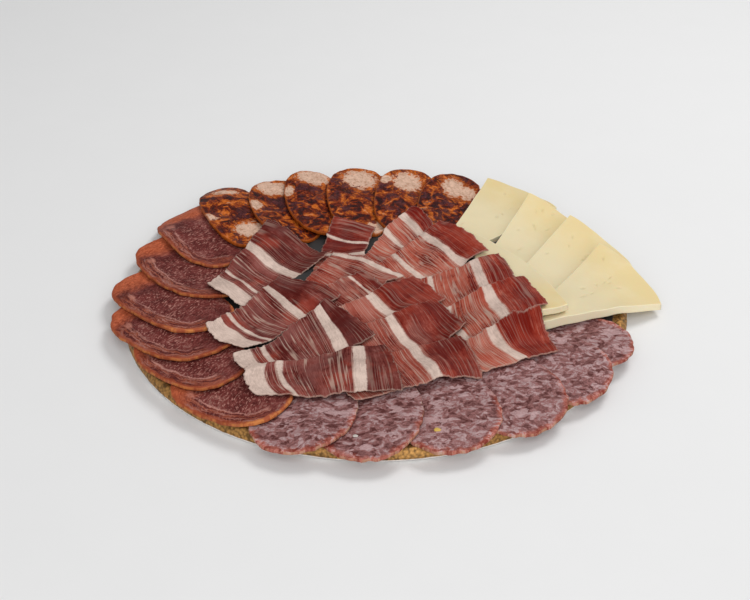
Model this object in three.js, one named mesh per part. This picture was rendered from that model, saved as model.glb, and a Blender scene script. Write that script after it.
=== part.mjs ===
// A charcuterie board: a round black serving tray with a gilded shoulder, laid with fans of
// sliced lomo, chorizo, salchichon and sheep's cheese round a pile of cured ham.
// Millimetres, +Z up. The origin is the centre of the tray's flat underside.
//
// Every slice is a thin sheet. The sheets are laid one after another, and each one sinks until
// it rests on the tray and on the slices laid before it, so that the pile carries itself.

import * as THREE from 'three';

// ---- Driving dimensions ----------------------------------------------------------------

const TRAY_RADIUS = 135;
const TRAY_HEIGHT = 7;
const FOOT_RADIUS = 132.4;
const FLOOR_RADIUS = 127;
const FLOOR_HEIGHT = 6;
const TRAY_SIDES = 64;

const SALCHICHON_THICKNESS = 1.8;
const LOMO_THICKNESS = 2.0;
const CHORIZO_THICKNESS = 2.2;
const HAM_THICKNESS = 1.0;
const CHEESE_LENGTH = 102;
const CHEESE_POINT_ANGLE = 29;
const CHEESE_RIND_SKEW = 5;
const CHEESE_MIDDLE = 0.62 * CHEESE_LENGTH;

const SALCHICHON_SHAPE = { unevenness: 0.012, squareness: 2.2 };
const LOMO_SHAPE = { unevenness: 0.015, squareness: 2.7 };
const CHORIZO_SHAPE = { unevenness: 0.012, squareness: 2.35 };

const CLEARANCE = 0.42;
const SLICE_SIDES = 20;
const SLICE_RINGS = [0.5, 0.84, 1];
const HAM_FOLD_RISE = 0.4;
const HAM_FAT_END_ROUNDNESS = 4;
const HAM_LEAN_END_ROUNDNESS = 1.2;
const HAM_STEPS_ALONG = 9;
const HAM_STEPS_ACROSS = 4;

const RELIEF_REACH = 165;
const RELIEF_PITCH = 1;

// ---- Where each slice lies -------------------------------------------------------------
// In the order of laying. azimuth is the direction of the long axis, in degrees.

// Salchichon: a fan along the front edge, laid from right to left.
const SALCHICHON = [
  { x: 101, y: -46, length: 62, width: 48, azimuth: -14 },
  { x: 89, y: -71, length: 59, width: 54, azimuth: -45 },
  { x: 63, y: -93, length: 63, width: 55, azimuth: -55 },
  { x: 32, y: -105, length: 64, width: 54, azimuth: -72 },
  { x: -4, y: -109, length: 66, width: 54, azimuth: -90 },
  { x: -35, y: -106, length: 64, width: 52, azimuth: -95 },
];

// Lomo: a fan down the left edge, laid from front to back.
const LOMO = [
  { x: -70, y: -92, length: 61, width: 44, azimuth: -34 },
  { x: -93, y: -62, length: 64, width: 47, azimuth: -44 },
  { x: -105, y: -36, length: 72, width: 52, azimuth: -48 },
  { x: -108, y: -13, length: 74, width: 48, azimuth: -46 },
  { x: -102, y: 22.5, length: 75, width: 50, azimuth: -53 },
  { x: -93.5, y: 59, length: 75, width: 55, azimuth: -61 },
];

// Chorizo: long slanted slices side by side along the back edge, laid from left to right.
const CHORIZO = [
  { x: -80, y: 77, length: 79, width: 38, azimuth: 114 },
  { x: -53, y: 85, length: 75, width: 40, azimuth: 105 },
  { x: -34, y: 94, length: 75, width: 38, azimuth: 102 },
  { x: -9, y: 97, length: 78, width: 40, azimuth: 94 },
  { x: 19, y: 96, length: 76, width: 40, azimuth: 88 },
  { x: 44, y: 96, length: 66, width: 36, azimuth: 78 },
];

// Cheese: x and y are the wedge's point, azimuth is its middle line, bow bends it sideways.
// The cut is uneven, so each slice has its own thickness at the point and at the rind.
const CHEESE = [
  { x: 31, y: 22, azimuth: 54.5, bow: 0, pointThickness: 4, rindThickness: 3.8 },
  { x: 43, y: -4, azimuth: 48, bow: 0, pointThickness: 4, rindThickness: 3.8 },
  { x: 54, y: -25, azimuth: 42, bow: 0, pointThickness: 4, rindThickness: 3.8 },
  { x: 64, y: -53, azimuth: 40, bow: 0, pointThickness: 6.2, rindThickness: 3.8 },
  { x: 46.5, y: 56.5, azimuth: -74, bow: 9, pointThickness: 3.8, rindThickness: 3.8 },
];

// Ham: each strip runs from its fat end to its lean end; widths are at those two ends, and the
// slant is how far the lean end reaches on for each millimetre to the left of the middle.
const HAM = [
  { group: 'right', from: [2, 26], to: [27.5, 75], widths: [24, 22], slant: 0.67 },
  { group: 'right', from: [10, 7], to: [50, 46], widths: [34, 46], slant: 0.23 },
  { group: 'right', from: [12, -10], to: [72, 4], widths: [34, 36], slant: 0 },
  { group: 'right', from: [22, -40], to: [84, -20], widths: [34, 31], slant: 0 },
  { group: 'right', from: [30, -71], to: [88, -50.5], widths: [23, 25], slant: 0 },
  { group: 'middle', from: [-22, 10], to: [-12, 66], widths: [26, 26], slant: 0 },
  { group: 'middle', from: [-28, -8], to: [-4, 24], widths: [32, 48], slant: 0 },
  { group: 'middle', from: [-45, -28], to: [0, 5], widths: [28, 24], slant: 0 },
  { group: 'middle', from: [-22, -38], to: [29, -1], widths: [32, 28], slant: 0 },
  { group: 'middle', from: [-16, -62], to: [39, -29], widths: [36, 32], slant: 0 },
  { group: 'middle', from: [-15, -86], to: [48, -67.5], widths: [34, 36], slant: 0 },
  { group: 'left', from: [-77, -9], to: [-43, 46], widths: [31, 42], slant: 0 },
  { group: 'left', from: [-77, -52], to: [-35, 3], widths: [26, 40], slant: 0 },
  { group: 'left', from: [-65, -74], to: [-13, -30], widths: [21, 42], slant: 0 },
  { group: 'left', from: [-60, -88], to: [9, -75], widths: [21, 49], slant: 0 },
];

// ---- The relief: how high everything laid so far stands --------------------------------

class Relief {
  constructor(heightAtRadius) {
    this.count = Math.round((2 * RELIEF_REACH) / RELIEF_PITCH) + 1;
    this.heights = new Float64Array(this.count * this.count);
    for (let row = 0; row < this.count; row += 1) {
      for (let column = 0; column < this.count; column += 1) {
        const radius = Math.hypot(this.place(column), this.place(row));
        this.heights[row * this.count + column] = heightAtRadius(radius);
      }
    }
  }

  place(step) {
    return step * RELIEF_PITCH - RELIEF_REACH;
  }

  step(place) {
    return (place + RELIEF_REACH) / RELIEF_PITCH;
  }

  // The highest of a cell and its eight neighbours.
  support(cell) {
    let highest = 0;
    for (let row = cell.row - 1; row <= cell.row + 1; row += 1) {
      for (let column = cell.column - 1; column <= cell.column + 1; column += 1) {
        highest = Math.max(highest, this.heights[row * this.count + column]);
      }
    }
    return highest;
  }

  raise(cell, height) {
    const index = cell.row * this.count + cell.column;
    this.heights[index] = Math.max(this.heights[index], height);
  }
}

// ---- Sheets: flat nets of points that get their heights when they are laid --------------

// Nested rings, each a scaled copy of a closed outline, round one middle point.
function ringSheet(outline) {
  const sides = outline.length;
  const points = [new THREE.Vector2(0, 0)];
  for (const scale of SLICE_RINGS) {
    points.push(...outline.map((point) => point.clone().multiplyScalar(scale)));
  }
  const triangles = [];
  for (let side = 0; side < sides; side += 1) {
    const next = (side + 1) % sides;
    triangles.push([0, 1 + side, 1 + next]);
    for (let ring = 1; ring < SLICE_RINGS.length; ring += 1) {
      const inner = 1 + (ring - 1) * sides;
      const outer = inner + sides;
      triangles.push([inner + side, outer + side, outer + next]);
      triangles.push([inner + side, outer + next, inner + next]);
    }
  }
  const lastRing = 1 + (SLICE_RINGS.length - 1) * sides;
  const edge = outline.map((point, side) => lastRing + side);
  return { points, triangles, edge };
}

// An uneven oval, from an ellipse at squareness 2 towards a rounded oblong at more. Each
// slice's own phase moves its bulges round the edge.
function ovalSheet(length, width, phase, { unevenness, squareness }) {
  const outline = [];
  for (let side = 0; side < SLICE_SIDES; side += 1) {
    const angle = (2 * Math.PI * side) / SLICE_SIDES;
    const alongTerm = Math.abs(Math.cos(angle) / (length / 2)) ** squareness;
    const acrossTerm = Math.abs(Math.sin(angle) / (width / 2)) ** squareness;
    const bulge = Math.sin(2 * angle + phase) + 0.6 * Math.sin(3 * angle - 2 * phase);
    const radius = (alongTerm + acrossTerm) ** (-1 / squareness) * (1 + unevenness * bulge);
    outline.push(new THREE.Vector2(radius * Math.cos(angle), radius * Math.sin(angle)));
  }
  return ringSheet(outline);
}

// A wedge of a round cheese, point at -X: two straight cuts, the rind as an arc round the
// point, and every corner a little rounded. The outline is taken about the wedge's middle.
function wedgeSheet(phase, bow) {
  const half = THREE.MathUtils.degToRad(CHEESE_POINT_ANGLE / 2);
  const skew = Math.tan(THREE.MathUtils.degToRad(CHEESE_RIND_SKEW));
  const cornerRadius = 1.3;
  const rindSteps = 8;
  const cutSteps = 3;
  const outline = [];
  const add = (radius, angle) => {
    const t = radius / CHEESE_LENGTH;
    const sideways = 0.4 * Math.sin(6 * t + phase) + bow * 4 * t * (1 - t);
    const reach = radius * (1 + skew * angle);
    const x = reach * Math.cos(angle) - CHEESE_MIDDLE;
    outline.push(new THREE.Vector2(x, reach * Math.sin(angle) + sideways));
  };
  for (let step = 0; step <= rindSteps; step += 1) {
    const angle = half * ((2 * step) / rindSteps - 1);
    const atCorner = step === 0 || step === rindSteps;
    add(atCorner ? CHEESE_LENGTH - cornerRadius : CHEESE_LENGTH, angle);
  }
  for (let step = 1; step <= cutSteps; step += 1) {
    add(CHEESE_LENGTH * (1 - step / (cutSteps + 0.15)), half);
  }
  for (let step = cutSteps; step >= 1; step -= 1) {
    add(CHEESE_LENGTH * (1 - step / (cutSteps + 0.15)), -half);
  }
  return ringSheet(outline);
}

// A strip of ham along +X from 0 to its length, with a bowed back and rounded ends.
function stripSheet(length, widths, slant, phase) {
  const points = [];
  for (let along = 0; along <= HAM_STEPS_ALONG; along += 1) {
    const t = along / HAM_STEPS_ALONG;
    const bow = 0.05 * length * Math.sin(phase) * Math.sin(Math.PI * t);
    const swell = 1 + 0.06 * Math.sin(5 * t + phase);
    const half = 0.5 * THREE.MathUtils.lerp(widths[0], widths[1], t) * swell;
    for (let across = 0; across <= HAM_STEPS_ACROSS; across += 1) {
      const s = (2 * across) / HAM_STEPS_ACROSS - 1;
      const roundness = t < 0.5 ? HAM_FAT_END_ROUNDNESS : HAM_LEAN_END_ROUNDNESS;
      const bulge = (2 * t - 1) ** 7 * (1 - s * s) * roundness;
      points.push(new THREE.Vector2(t * (length + slant * s * half) + bulge, s * half + bow));
    }
  }
  const row = HAM_STEPS_ACROSS + 1;
  const triangles = [];
  for (let along = 0; along < HAM_STEPS_ALONG; along += 1) {
    for (let across = 0; across < HAM_STEPS_ACROSS; across += 1) {
      const corner = along * row + across;
      triangles.push([corner, corner + row, corner + row + 1]);
      triangles.push([corner, corner + row + 1, corner + 1]);
    }
  }
  const edge = [];
  for (let along = 0; along < HAM_STEPS_ALONG; along += 1) {
    edge.push(along * row);
  }
  for (let across = 0; across < HAM_STEPS_ACROSS; across += 1) {
    edge.push(HAM_STEPS_ALONG * row + across);
  }
  for (let along = HAM_STEPS_ALONG; along > 0; along -= 1) {
    edge.push(along * row + HAM_STEPS_ACROSS);
  }
  for (let across = HAM_STEPS_ACROSS; across > 0; across -= 1) {
    edge.push(across);
  }
  return { points, triangles, edge };
}

// ---- Laying a sheet --------------------------------------------------------------------

// Every relief cell under a sheet, with the triangle over it and the triangle's weights there.
function cellsUnder(sheet, places, relief) {
  const cells = [];
  const slack = -0.02;
  for (const corners of sheet.triangles) {
    const [a, b, c] = corners.map((corner) => places[corner]);
    const area = (b.x - a.x) * (c.y - a.y) - (c.x - a.x) * (b.y - a.y);
    const firstColumn = Math.floor(relief.step(Math.min(a.x, b.x, c.x)));
    const lastColumn = Math.ceil(relief.step(Math.max(a.x, b.x, c.x)));
    const firstRow = Math.floor(relief.step(Math.min(a.y, b.y, c.y)));
    const lastRow = Math.ceil(relief.step(Math.max(a.y, b.y, c.y)));
    for (let row = firstRow; row <= lastRow; row += 1) {
      for (let column = firstColumn; column <= lastColumn; column += 1) {
        const x = relief.place(column);
        const y = relief.place(row);
        const second = ((x - a.x) * (c.y - a.y) - (c.x - a.x) * (y - a.y)) / area;
        const third = ((b.x - a.x) * (y - a.y) - (x - a.x) * (b.y - a.y)) / area;
        const weights = [1 - second - third, second, third];
        if (Math.min(...weights) >= slack) {
          cells.push({ row, column, corners, weights });
        }
      }
    }
  }
  return cells;
}

// Smooth surfaces up to a polynomial order, as unit vectors over the sheet's points.
function smoothShapes(points, order) {
  const size = Math.max(...points.map((point) => point.length()));
  const shapes = [];
  for (let power = 0; power <= order; power += 1) {
    for (let across = 0; across <= power; across += 1) {
      let shape = points.map((p) => (p.x / size) ** (power - across) * (p.y / size) ** across);
      for (const earlier of shapes) {
        const share = dot(shape, earlier);
        shape = shape.map((value, index) => value - share * earlier[index]);
      }
      const norm = Math.sqrt(dot(shape, shape));
      shapes.push(shape.map((value) => value / norm));
    }
  }
  return shapes;
}

function dot(first, second) {
  return first.reduce((sum, value, index) => sum + value * second[index], 0);
}

function weighted(cell, heights) {
  return cell.corners.reduce((sum, corner, k) => sum + cell.weights[k] * heights[corner], 0);
}

// Lifts the corners of each triangle that has sunk into what lies under it.
function liftClear(cells, heights) {
  for (const cell of cells) {
    const sunk = cell.support - weighted(cell, heights);
    if (sunk > 0) {
      const spread = dot(cell.weights, cell.weights);
      cell.corners.forEach((corner, k) => {
        heights[corner] += (sunk * Math.max(cell.weights[k], 0)) / spread;
      });
    }
  }
}

// Lets a sheet sink in small steps. After each step it is pulled towards the nearest smooth
// surface by its stiffness, towards the nearest plane by its flatness, and lifted clear of
// what it touches.
function settle(sheet, cells, { order, stiffness, flatness }) {
  const steps = 160;
  const sweeps = 3;
  const lastSweeps = 40;
  const smoothSurface = smoothShapes(sheet.points, order);
  const plane = smoothSurface.slice(0, 3);
  const top = Math.max(...cells.map((cell) => cell.support));
  let heights = sheet.points.map(() => top);
  for (let step = 0; step < steps; step += 1) {
    const drop = 0.3 * (1 - step / steps) + 0.04;
    heights = heights.map((height) => height - drop);
    heights = pulled(heights, smoothSurface, stiffness);
    heights = pulled(heights, plane, flatness);
    for (let sweep = 0; sweep < sweeps; sweep += 1) {
      liftClear(cells, heights);
    }
  }
  for (let sweep = 0; sweep < lastSweeps; sweep += 1) {
    liftClear(cells, heights);
  }
  const sunk = Math.max(0, ...cells.map((cell) => cell.support - weighted(cell, heights)));
  return heights.map((height) => height + sunk);
}

// Heights moved by a share of the way to the nearest mix of some smooth shapes.
function pulled(heights, shapes, share) {
  const smooth = new Array(heights.length).fill(0);
  for (const shape of shapes) {
    const amount = dot(shape, heights);
    shape.forEach((value, index) => {
      smooth[index] += amount * value;
    });
  }
  return heights.map((height, index) => THREE.MathUtils.lerp(height, smooth[index], share));
}

// The closed body between a sheet's underside and its top.
function sheetGeometry(sheet, undersides, thicknesses) {
  const count = sheet.points.length;
  const positions = [];
  for (const lift of [0, 1]) {
    sheet.points.forEach((point, index) => {
      positions.push(point.x, point.y, undersides[index] + lift * thicknesses[index]);
    });
  }
  const indices = [];
  for (const [a, b, c] of sheet.triangles) {
    indices.push(c, b, a);
    indices.push(a + count, b + count, c + count);
  }
  sheet.edge.forEach((corner, index) => {
    const next = sheet.edge[(index + 1) % sheet.edge.length];
    indices.push(corner, next, next + count);
    indices.push(corner, next + count, corner + count);
  });
  const geometry = new THREE.BufferGeometry();
  geometry.setAttribute('position', new THREE.Float32BufferAttribute(positions, 3));
  geometry.setIndex(indices);
  geometry.computeVertexNormals();
  return geometry;
}

const board = new THREE.Group();
const relief = new Relief(trayHeightAt);

// Lays one sheet at x, y and adds its body to the board. thicknessAt and liftAt take a point
// of the sheet; lift is air left under a fold or a raised edge.
function lay(sheet, { name, x, y, azimuth, material, bend, thicknessAt, liftAt = () => 0 }) {
  const mesh = new THREE.Mesh(undefined, material);
  mesh.name = name;
  mesh.position.set(x, y, 0);
  mesh.rotation.z = THREE.MathUtils.degToRad(azimuth);
  mesh.updateMatrixWorld();
  const places = sheet.points.map((p) => mesh.localToWorld(new THREE.Vector3(p.x, p.y, 0)));
  const cells = cellsUnder(sheet, places, relief);
  for (const cell of cells) {
    cell.support = relief.support(cell) + CLEARANCE;
  }
  const settled = settle(sheet, cells, bend);
  const undersides = settled.map((height, index) => height + liftAt(sheet.points[index]));
  const thicknesses = sheet.points.map(thicknessAt);
  const tops = undersides.map((height, index) => height + thicknesses[index]);
  for (const cell of cells) {
    relief.raise(cell, weighted(cell, tops));
  }
  mesh.geometry = sheetGeometry(sheet, undersides, thicknesses);
  board.add(mesh);
}

// ---- The tray --------------------------------------------------------------------------

// Radius and height along the tray's upper side, from its floor out over the shoulder.
function shoulderProfile() {
  return [
    [FLOOR_RADIUS, FLOOR_HEIGHT],
    [FLOOR_RADIUS + 1.6, TRAY_HEIGHT],
    [TRAY_RADIUS - 4.0, TRAY_HEIGHT],
    [TRAY_RADIUS - 1.8, TRAY_HEIGHT - 1],
    [TRAY_RADIUS - 0.4, TRAY_HEIGHT - 2.9],
    [TRAY_RADIUS, 2.2],
    [TRAY_RADIUS - 0.5, 1],
    [FOOT_RADIUS, 0],
  ];
}

function trayHeightAt(radius) {
  const profile = shoulderProfile();
  if (radius <= FLOOR_RADIUS) {
    return FLOOR_HEIGHT;
  }
  for (let index = 1; index < profile.length; index += 1) {
    const [innerRadius, innerHeight] = profile[index - 1];
    const [outerRadius, outerHeight] = profile[index];
    if (radius <= outerRadius) {
      const share = (radius - innerRadius) / (outerRadius - innerRadius);
      return THREE.MathUtils.lerp(innerHeight, outerHeight, share);
    }
  }
  return 0;
}

function makeTray() {
  const profile = [[0, FLOOR_HEIGHT], ...shoulderProfile(), [0, 0]].reverse();
  const points = profile.map(([radius, height]) => new THREE.Vector2(radius, height));
  const geometry = new THREE.LatheGeometry(points, TRAY_SIDES);
  geometry.rotateX(Math.PI / 2);
  const material = new THREE.MeshStandardMaterial({ color: 0x14100e, roughness: 0.42 });
  const mesh = new THREE.Mesh(geometry, material);
  mesh.name = 'tray';
  return mesh;
}

// ---- The slices ------------------------------------------------------------------------

const SOFT_SLICE = { order: 3, stiffness: 0.35, flatness: 0.002 };
const FIRM_SLICE = { order: 2, stiffness: 0.8, flatness: 0.03 };
const LIMP_SLICE = { order: 3, stiffness: 0.1, flatness: 0 };

function layOvals(kind, rows, thickness, shape, colour) {
  rows.forEach((row, index) => {
    const phase = 1.9 * index + rows.length + thickness;
    lay(ovalSheet(row.length, row.width, phase, shape), {
      ...row,
      name: `${kind}_${index + 1}`,
      material: new THREE.MeshStandardMaterial({ color: colour, roughness: 0.45 }),
      bend: SOFT_SLICE,
      thicknessAt: () => thickness,
    });
  });
}

function layCheese() {
  CHEESE.forEach((row, index) => {
    const azimuth = THREE.MathUtils.degToRad(row.azimuth);
    lay(wedgeSheet(2.1 * index, row.bow), {
      name: `cheese_${index + 1}`,
      x: row.x + CHEESE_MIDDLE * Math.cos(azimuth),
      y: row.y + CHEESE_MIDDLE * Math.sin(azimuth),
      azimuth: row.azimuth,
      material: new THREE.MeshStandardMaterial({ color: 0xe9dcae, roughness: 0.5 }),
      bend: FIRM_SLICE,
      thicknessAt: (point) => THREE.MathUtils.lerp(
        row.pointThickness,
        row.rindThickness,
        (point.x + CHEESE_MIDDLE) / CHEESE_LENGTH,
      ),
    });
  });
}

function layHam() {
  HAM.forEach(({ group, from, to, widths, slant }, index) => {
    const start = new THREE.Vector2(...from);
    const run = new THREE.Vector2(...to).sub(start);
    const length = run.length();
    const phase = 1.3 * index + 0.4;
    const place = 1 + HAM.slice(0, index).filter((row) => row.group === group).length;
    lay(stripSheet(length, widths, slant, phase), {
      name: `ham_${group}_${place}`,
      x: start.x,
      y: start.y,
      azimuth: THREE.MathUtils.radToDeg(run.angle()),
      material: new THREE.MeshStandardMaterial({ color: 0x9c3122, roughness: 0.4 }),
      bend: LIMP_SLICE,
      thicknessAt: () => HAM_THICKNESS,
      liftAt: (point) => HAM_FOLD_RISE * (1 + Math.sin((5.5 * point.x) / length + 0.09 * point.y + phase)),
    });
  });
}

board.add(makeTray());
layOvals('salchichon', SALCHICHON, SALCHICHON_THICKNESS, SALCHICHON_SHAPE, 0x8a3a2c);
layOvals('lomo', LOMO, LOMO_THICKNESS, LOMO_SHAPE, 0x6e1f1a);
layOvals('chorizo', CHORIZO, CHORIZO_THICKNESS, CHORIZO_SHAPE, 0xa0341c);
layCheese();
layHam();

export default board;
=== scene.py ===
"""Dresses a round serving tray of sliced salchichon, lomo, chorizo, ham and cheese."""

import math

import bpy
import numpy as np
from bpy.props import FloatProperty, FloatVectorProperty, PointerProperty
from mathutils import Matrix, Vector


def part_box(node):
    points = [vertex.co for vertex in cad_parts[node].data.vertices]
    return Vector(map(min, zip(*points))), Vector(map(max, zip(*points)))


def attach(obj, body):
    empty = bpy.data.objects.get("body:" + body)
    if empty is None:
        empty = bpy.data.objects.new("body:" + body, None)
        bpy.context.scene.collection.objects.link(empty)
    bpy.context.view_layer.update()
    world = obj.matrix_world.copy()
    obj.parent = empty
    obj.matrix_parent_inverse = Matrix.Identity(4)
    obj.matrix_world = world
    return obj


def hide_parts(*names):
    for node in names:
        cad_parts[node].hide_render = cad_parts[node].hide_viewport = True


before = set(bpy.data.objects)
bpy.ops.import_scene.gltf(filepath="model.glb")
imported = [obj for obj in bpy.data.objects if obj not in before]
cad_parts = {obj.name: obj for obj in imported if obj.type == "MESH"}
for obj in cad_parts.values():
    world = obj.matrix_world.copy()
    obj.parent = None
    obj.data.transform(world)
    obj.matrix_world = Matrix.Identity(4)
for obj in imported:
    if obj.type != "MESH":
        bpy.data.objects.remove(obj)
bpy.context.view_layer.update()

bl_info = {
    "name": "Charcuterie Board",
    "version": (1, 0, 0),
    "blender": (4, 5, 0),
    "location": "3D View > Sidebar > Board",
    "description": "Builds the looks of a round tray of sliced meats and cheese",
    "category": "Object",
}

TRAY_LOW, TRAY_HIGH = (np.array(corner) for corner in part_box("tray"))
TRAY_RADIUS = float(TRAY_HIGH[0] - TRAY_LOW[0]) / 2
MM = 0.001

# Points round the tray, and along the section of its lip.
TRAY_COLUMNS = 384
LIP_POINTS = 57

# Rows of points from the middle of a slice of meat or cheese to its rim. Then, for the oval
# slices, points round the rim, the height and pitch of the ripple, and the outline's swell.
SLICE_ROWS = 26
SLICE_COLUMNS = 128
SLICE_RIPPLE = 0.00016
SLICE_RIPPLE_PITCH = 0.011
SWELL_PITCH = 0.02

# Rows of points down the wall of a slice of cheese, its ripple, and its small holes.
CHEESE_WALL_STEPS = 7
CHEESE_RIPPLE = 0.00018
CHEESE_RIPPLE_PITCH = 0.02
CHEESE_PITS = 9
PIT_SIZES = (0.0004, 0.0009)

# Points along and across a slice of ham, how far in its torn teeth and its rounded rim
# reach, its ripple, and the rise next to its rim.
HAM_ALONG = 130
HAM_ACROSS = 70
TOOTH_FADE = 0.0012
HAM_RIM = 0.0004
HAM_RIPPLE = 0.0001
HAM_RIPPLE_PITCH = 0.010
FRILL_RISE = 0.0003
FRILL_REACH = 0.0016
FRILL_PITCH = 0.006

# Points of a peppercorn, and how far its middle stands above the slice.
CORN_ROWS = 15
CORN_COLUMNS = 32
CORN_RISE = 0.0001

CAMERA_PLACE = (-0.0003, -0.6607, 0.4382)
CAMERA_TILT = 56.6
CAMERA_LENS = 70
SENSOR_WIDTH = 36
TABLE_REACH = 3.0
TABLE_DROP = 0.0002


# ---------------------------------------------------------------- settings


def colour(label, words, value):
    """A colour setting, in linear light."""
    return FloatVectorProperty(
        name=label, description=words, default=value, subtype="COLOR", size=3, min=0, max=1
    )


def length(label, words, value):
    """A length setting, given in millimetres and held in metres."""
    return FloatProperty(
        name=label, description=words, default=value * MM, min=0, subtype="DISTANCE", unit="LENGTH"
    )


def power(label, words, value):
    """The power of a light, in watts."""
    return FloatProperty(name=label, description=words, default=value, unit="POWER")


def finishes(kind, name):
    """The group of settings of one part."""
    words = f"Finishes of the {name.lower()}"
    return PointerProperty(type=kind, name=name, description=words)


class BoardTray(bpy.types.PropertyGroup):
    """The finishes of the tray."""

    floor: colour("Floor", "Matt floor that the food lies on", (0.010, 0.009, 0.009))
    gilding: colour("Gilding", "Hammered metal leaf on the edge", (0.50, 0.26, 0.075))
    foot: colour("Foot", "Bare line round the lowest edge", (0.80, 0.76, 0.72))
    dimple: length("Dimple", "Size of the hammer marks on the edge", 1.3)
    dimple_depth: length("Dimple depth", "Depth of the hammer marks", 0.22)


class BoardSalchichon(bpy.types.PropertyGroup):
    """The finishes of the salchichon."""

    lean: colour("Lean", "Minced lean meat", (0.152, 0.064, 0.061))
    fat: colour("Fat", "Flecks of fat", (0.46, 0.30, 0.30))
    rim: colour("Rim", "Meat next to the casing", (0.34, 0.090, 0.060))
    casing: colour("Casing", "Dry casing at the very edge", (0.46, 0.28, 0.17))
    fleck: length("Fleck", "Size of a fleck of fat", 1.9)
    edge: length("Edge", "Rounding of the cut edge", 0.5)


class BoardLomo(bpy.types.PropertyGroup):
    """The finishes of the lomo."""

    lean: colour("Lean", "Cured loin", (0.118, 0.024, 0.021))
    paprika: colour("Paprika", "Spiced meat of the outer end", (0.44, 0.105, 0.045))
    # Laid along the very edge of each slice, this colour is partly the spice crust and partly painted
    # highlight.
    spice: colour("Spice", "Golden crust of spice at the edge", (0.52, 0.19, 0.055))
    seam: colour("Seam", "Connective seams", (0.46, 0.22, 0.18))
    seam_inset: length("Seam inset", "Distance of the long seam from the rim", 7.5)
    edge: length("Edge", "Rounding of the cut edge", 0.7)


class BoardChorizo(bpy.types.PropertyGroup):
    """The finishes of the chorizo."""

    lean: colour("Lean", "Dark lean pieces", (0.050, 0.012, 0.014))
    paprika: colour("Paprika", "Minced meat soaked in paprika fat", (0.20, 0.024, 0.006))
    oil: colour("Oil", "Bright oil in the mince", (0.50, 0.115, 0.012))
    fat: colour("Fat", "Pieces of fat", (0.64, 0.43, 0.32))
    edge: length("Edge", "Rounding of the cut edge", 0.8)


class BoardCheese(bpy.types.PropertyGroup):
    """The finishes of the cheese."""

    paste: colour("Paste", "Middle of the cheese", (0.70, 0.60, 0.38))
    # The outer paste, darkened, is also laid as painted shade in the small holes.
    outer: colour("Outer paste", "Cheese next to the rind", (0.72, 0.57, 0.28))
    # Painted highlight: the pale colour laid on the cut walls and along the top edges of the slices.
    cut: colour("Cut", "Moist cut sides", (0.88, 0.80, 0.58))
    pit_depth: length("Pit depth", "Depth of the small holes", 0.7)
    edge: length("Edge", "Rounding of the cut edges", 0.35)


class BoardHam(bpy.types.PropertyGroup):
    """The finishes of the ham."""

    lean: colour("Lean", "Cured ham of the outer slices", (0.175, 0.034, 0.026))
    bright: colour("Bright lean", "Moister ham, in the slices by the cheese", (0.29, 0.038, 0.020))
    shade: colour("Shade", "Duller patches of the lean", (0.130, 0.042, 0.038))
    # Also laid along the torn rim, where it is partly pale fat and partly painted highlight.
    fat: colour("Fat", "Bands and ends of fat", (0.62, 0.48, 0.41))
    streak: length("Streak", "Spacing of the pale streaks", 2.4)
    tooth: length("Tooth", "Roughness of the torn edges", 0.6)


class BoardStage(bpy.types.PropertyGroup):
    """The floor and the light."""

    floor: colour("Floor", "Pale table", (0.80, 0.80, 0.80))
    room: FloatProperty(
        name="Room light", description="Strength of the light from all round", default=0.385
    )
    side: power("Side light", "Power of the softbox at the right", 5.4)
    front: power("Front light", "Power of the softbox in front", 27.5)


class BoardSettings(bpy.types.PropertyGroup):
    """Every setting of the board."""

    tray: finishes(BoardTray, "Tray")
    salchichon: finishes(BoardSalchichon, "Salchichon")
    lomo: finishes(BoardLomo, "Lomo")
    chorizo: finishes(BoardChorizo, "Chorizo")
    cheese: finishes(BoardCheese, "Cheese")
    ham: finishes(BoardHam, "Ham")
    stage: PointerProperty(type=BoardStage, name="Stage", description="The floor and the light")


# ---------------------------------------------------------------- shapes


def least_bending(sites, values, targets):
    """The smoothest curve or surface through the values at the sites, read at the targets.

    It is a level and a slope, plus a sum over the sites of a weight times a function of the
    distance to the site: its cube on a line, and its square times its logarithm on a plane.
    The weights add up to nothing and have no moment.
    """
    size = np.ptp(sites, axis=0).max()
    on_line = sites.shape[1] == 1

    def pull(places):
        distance = np.linalg.norm(places[:, None] - sites[None], axis=2) / size
        if on_line:
            return distance**3
        return distance**2 * np.log(np.maximum(distance, 1e-9))

    def level(places):
        return np.hstack((np.ones((len(places), 1)), places / size))

    slopes = level(sites)
    count, terms = slopes.shape
    system = np.block([[pull(sites), slopes], [slopes.T, np.zeros((terms, terms))]])
    known = np.vstack((values, np.zeros((terms, values.shape[1]))))
    weights = np.linalg.solve(system, known)
    return pull(targets) @ weights[:count] + level(targets) @ weights[count:]


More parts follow.
